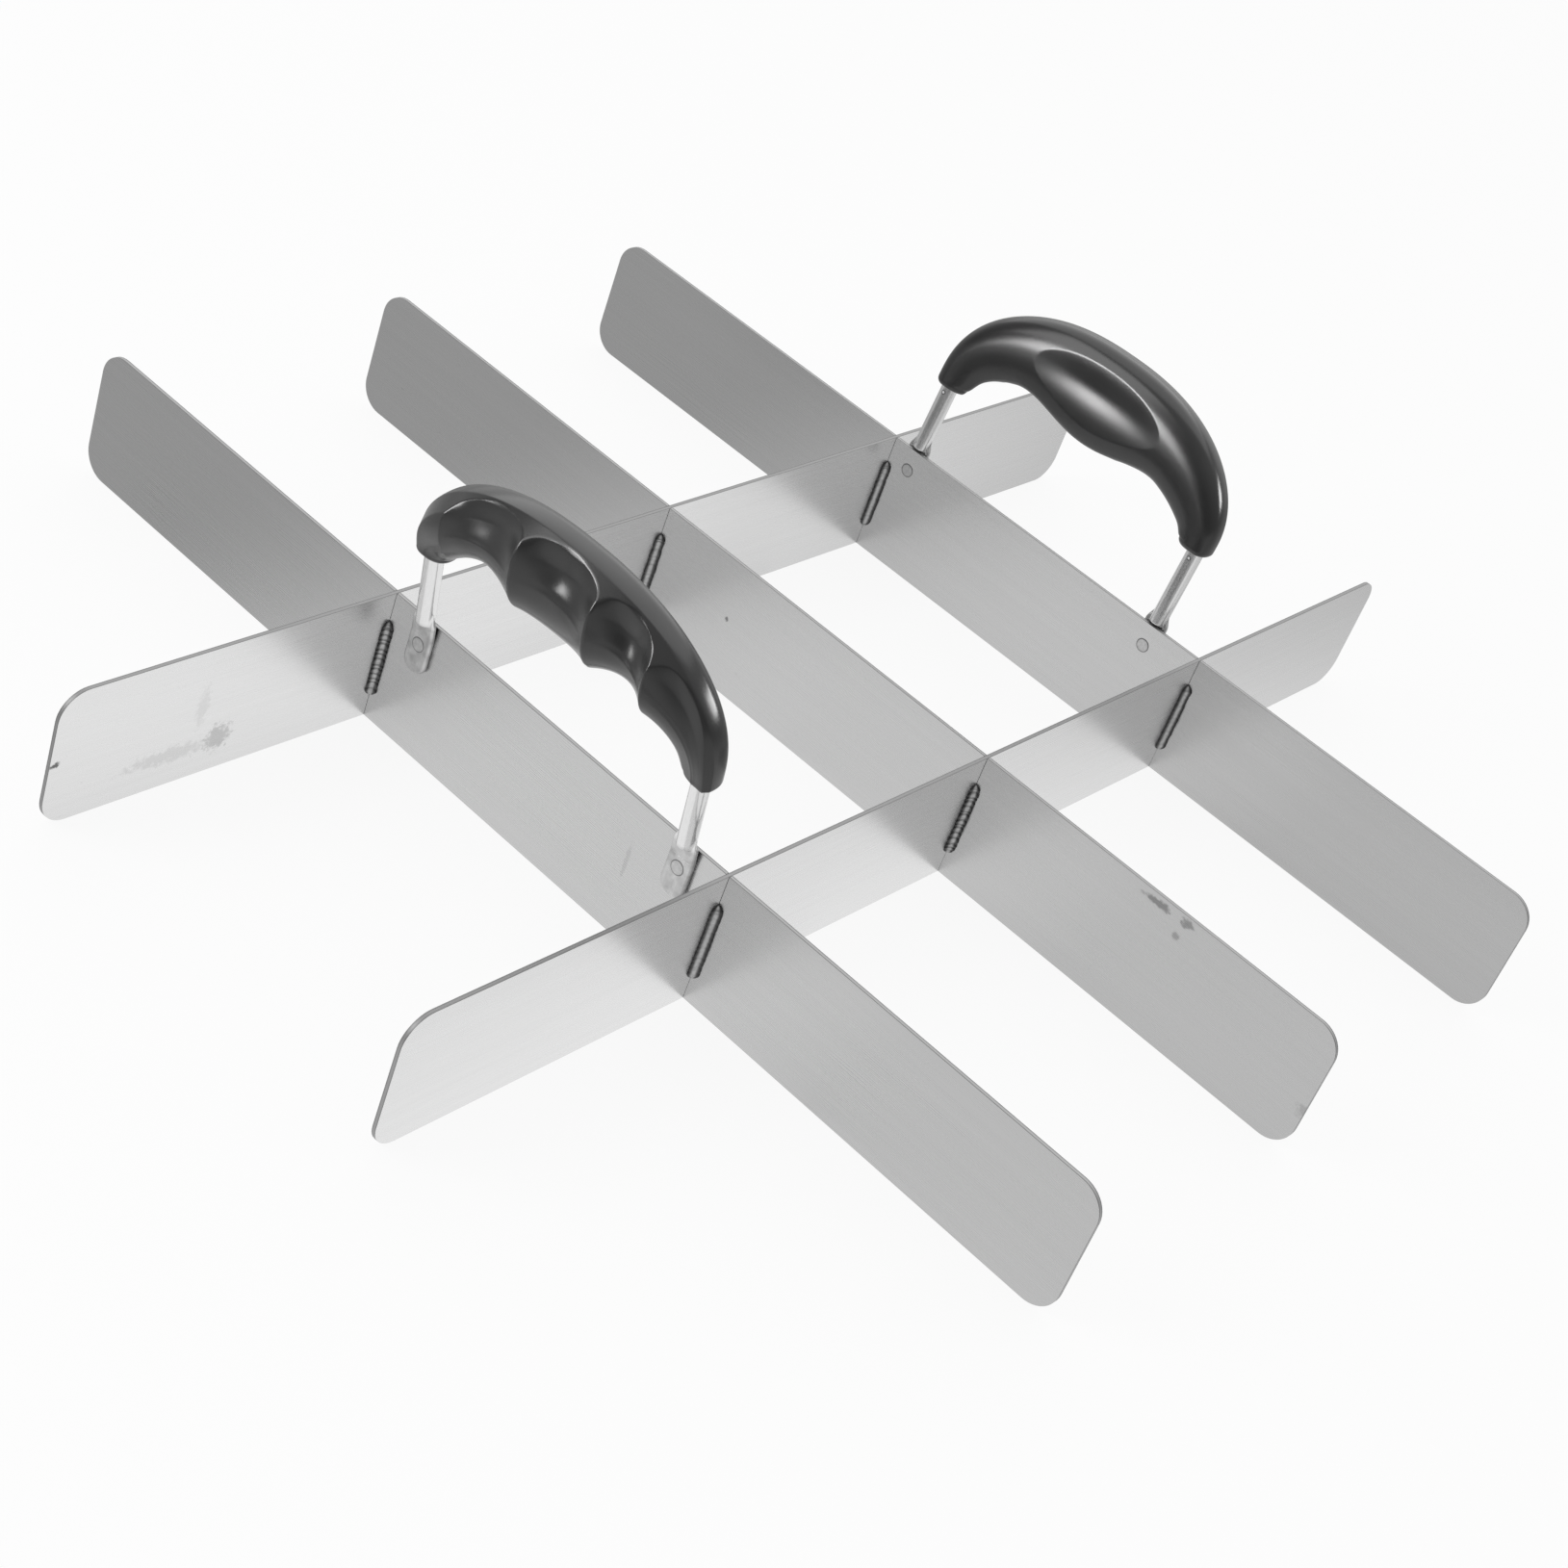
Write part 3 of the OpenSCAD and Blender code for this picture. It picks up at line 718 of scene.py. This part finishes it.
class MARKER_OT_make_posts(bpy.types.Operator):
    """Makes the four posts that carry the grips"""
    bl_idname = "marker.make_posts"
    bl_label = "Make the posts"

    def execute(self, context):
        sizes, grips = context.scene.post_sizes, context.scene.grip_sizes
        scene = context.scene
        tree = surface_tree("post", PostSizes, rings=401, points=65, place=post_point)
        # Places of the painted cross holes, each a ring of painted shade round a core of painted light
        holes = [leaning_frame(scene, side) @ Vector((-sizes.tube_radius, local_end(side, end) * POST_SPACING / 2,
                                                      foot_height(scene, side, end) - PAINTED_HOLE_DROP))
                 for side in HANDLES for end in ENDS]
        steel = post_steel(scene.steel_looks, holes)
        for side in HANDLES:
            for end in ENDS:
                node = f"post_{side}_{end}"
                place = post_place(side, end) @ Matrix.Translation(
                    (BLADE_T / 2 + sizes.tab_half_thickness, 0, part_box(node)[0].z))
                top = foot_height(scene, side, end) + grips.hole_depth - SOCKET_PLAY
                values = sizes_of(sizes, top_len=top, lean=lean_and_height(scene, side)[0])
                finished(plain_piece(f"tube_{side}_{end}", tree, values, steel, place), "post_steel", node)
        return {"FINISHED"}


class MARKER_OT_make_rivets(bpy.types.Operator):
    """Makes the flush rivets that hold the posts"""
    bl_idname = "marker.make_rivets"
    bl_label = "Make the rivets"

    def execute(self, context):
        sizes = context.scene.rivet_sizes
        tree = surface_tree("rivet", RivetSizes, rings=161, points=97, place=rivet_point)
        steel = rivet_steel(context.scene.steel_looks)
        for side in HANDLES:
            for end in ENDS:
                node = f"rivet_{side}_{end}"
                place = post_place(side, end) @ Matrix.Translation((-BLADE_T / 2, 0, middle_of(node).z))
                finished(plain_piece(f"head_{side}_{end}", tree, sizes_of(sizes), steel, place), "rivet_steel", node)
        return {"FINISHED"}


class MARKER_OT_make_grips(bpy.types.Operator):
    """Makes the two moulded grips"""
    bl_idname = "marker.make_grips"
    bl_label = "Make the grips"

    def execute(self, context):
        tree = surface_tree("grip", GripSizes, rings=401, points=241, place=grip_point)
        plastic = moulded_plastic(context.scene.grip_looks)
        for side in HANDLES:
            values = sizes_of(context.scene.grip_sizes, foot=lean_and_height(context.scene, side)[1])
            piece = plain_piece(f"moulding_{side}", tree, values, plastic, leaning_frame(context.scene, side))
            finished(piece, "grip_plastic", f"grip_{side}")
        return {"FINISHED"}


class MARKER_OT_set_stage(bpy.types.Operator):
    """Sets the floor, the soft light and the camera"""
    bl_idname = "marker.set_stage"
    bl_label = "Set the stage"

    def execute(self, context):
        looks = context.scene.stage_looks
        floor_mesh = bpy.data.meshes.new("floor")
        corners = [(x * FLOOR_REACH, y * FLOOR_REACH, 0) for x, y in ((-1, -1), (1, -1), (1, 1), (-1, 1))]
        floor_mesh.from_pydata(corners, [], [(0, 1, 2, 3)])
        floor = bpy.data.objects.new("floor", floor_mesh)
        context.scene.collection.objects.link(floor)
        floor.data.materials.append(pale_floor(looks))
        room_light(context.scene, looks)
        for name, place, size, glow, lit in SOFTBOXES:
            light = bpy.data.lights.new(name, "AREA")
            light.size, light.energy = size, glow * math.pi * size ** 2 * looks.softboxes
            softbox = bpy.data.objects.new(name, light)
            softbox.location = place
            softbox.rotation_euler = (-softbox.location).to_track_quat("-Z", "Y").to_euler()
            if lit:
                softbox.light_linking.receiver_collection = bpy.data.collections.new(name + "_lights")
                for side in lit:
                    softbox.light_linking.receiver_collection.objects.link(bpy.data.objects[f"moulding_{side}"])
            context.scene.collection.objects.link(softbox)
        camera = bpy.data.objects.new("camera", bpy.data.cameras.new("camera"))
        camera.location, camera.rotation_euler = looks.eye, looks.turn
        camera.data.lens, camera.data.sensor_width = looks.lens, SENSOR_WIDTH
        camera.data.clip_start, camera.data.clip_end = CLIP_START, CLIP_END
        context.scene.collection.objects.link(camera)
        context.scene.camera = camera
        context.scene.view_settings.view_transform = "Standard"
        return {"FINISHED"}


def pale_floor(looks):
    """Plain pale floor that keeps a faint shadow, shows white, and is dimmer in metal towards the back left."""
    finish = Finish("pale_floor", Base_Color=(looks.floor_tone,) * 3 + (1,), Roughness=0.9)
    wire = finish.wire
    rays = wire.node("ShaderNodeLightPath").socket.node.outputs
    camera, glossy, through = [Wire(finish.tree, rays[title]) for title in
                               ("Is Camera Ray", "Is Glossy Ray", "Is Transmission Ray")]
    x, y, _ = finish.at.parts()
    shadow_share, furthest_front = 0.1, 0.6
    front, back = 1 / SPOT_REACH_FRONT, 1 / SPOT_REACH_BACK
    depth = ((y - SPOT_Y) * (front + (back - front) * (y > SPOT_Y))).most(-furthest_front)
    away = (((x - SPOT_X) / SPOT_REACH_X) ** 2 + depth ** 2).root()
    dimmed = looks.floor_bright + (looks.floor_dim - looks.floor_bright) * away.ease(0.3, 1.4)
    glow = wire.node("ShaderNodeEmission", None, {"Color": WHITE, "Strength": 1 + (dimmed - 1) * glossy})
    shown = (camera * (1 - shadow_share) + glossy + through).clamp()
    plain = Wire(finish.tree, finish.shader.outputs[0])
    mixed = wire.node("ShaderNodeMixShader", None, {0: shown, 1: plain, 2: glow})
    finish.tree.links.new(mixed.socket, finish.tree.nodes["Material Output"].inputs[0])
    return finish.material


def room_light(scene, looks):
    """White behind the object, and soft light: dimmer at the horizon and back left, brighter back right."""
    scene.world = bpy.data.worlds.new("room")
    scene.world.use_nodes = True
    tree = scene.world.node_tree
    wire = Wire(tree)
    rays = wire.node("ShaderNodeLightPath").socket.node.outputs
    seen = Wire(tree, rays["Is Camera Ray"])
    x, y, up = wire.node("ShaderNodeTexCoord", output=0).parts()
    behind = (0.8 * x + 0.6 * y).ease(0.1, 0.9)
    gradient = 0.25 + 0.25 * (x - 0.6 * y).ease(-1, 1) + 0.5 * up.ease(0.05, 0.9) + 0.9 * behind
    shown = wire.node("ShaderNodeBackground", None, {"Color": WHITE, "Strength": 1})
    soft = wire.node("ShaderNodeBackground", None, {"Color": WHITE, "Strength": gradient * looks.sky})
    mixed = wire.node("ShaderNodeMixShader", None, {0: seen, 1: soft, 2: shown})
    tree.links.new(mixed.socket, tree.nodes["World Output"].inputs[0])


OPERATORS = (MARKER_OT_dress_blades, MARKER_OT_make_beads, MARKER_OT_make_posts, MARKER_OT_make_rivets,
             MARKER_OT_make_grips, MARKER_OT_set_stage)


class MARKER_PT_sidebar(bpy.types.Panel):
    """Lists the steps and the sizes of the portion marker"""
    bl_idname = "MARKER_PT_sidebar"
    bl_label = "Portion marker"
    bl_space_type = "VIEW_3D"
    bl_region_type = "UI"
    bl_category = "Portion marker"

    def draw(self, context):
        for operator in OPERATORS:
            self.layout.operator(operator.bl_idname)
        for name, group in GROUPS.items():
            box = self.layout.box()
            box.label(text=group.bl_rna.description)
            for key in group.__annotations__:
                box.prop(getattr(context.scene, name), key)


def register():
    for cls in (*GROUPS.values(), *OPERATORS, MARKER_PT_sidebar):
        bpy.utils.register_class(cls)
    for name, group in GROUPS.items():
        setattr(bpy.types.Scene, name, bpy.props.PointerProperty(type=group))


def unregister():
    for name in GROUPS:
        delattr(bpy.types.Scene, name)
    for cls in reversed((*GROUPS.values(), *OPERATORS, MARKER_PT_sidebar)):
        bpy.utils.unregister_class(cls)


def main():
    register()
    for operator in OPERATORS:
        group, step = operator.bl_idname.split(".")
        getattr(getattr(bpy.ops, group), step)()


if __name__ == "__main__":
    main()
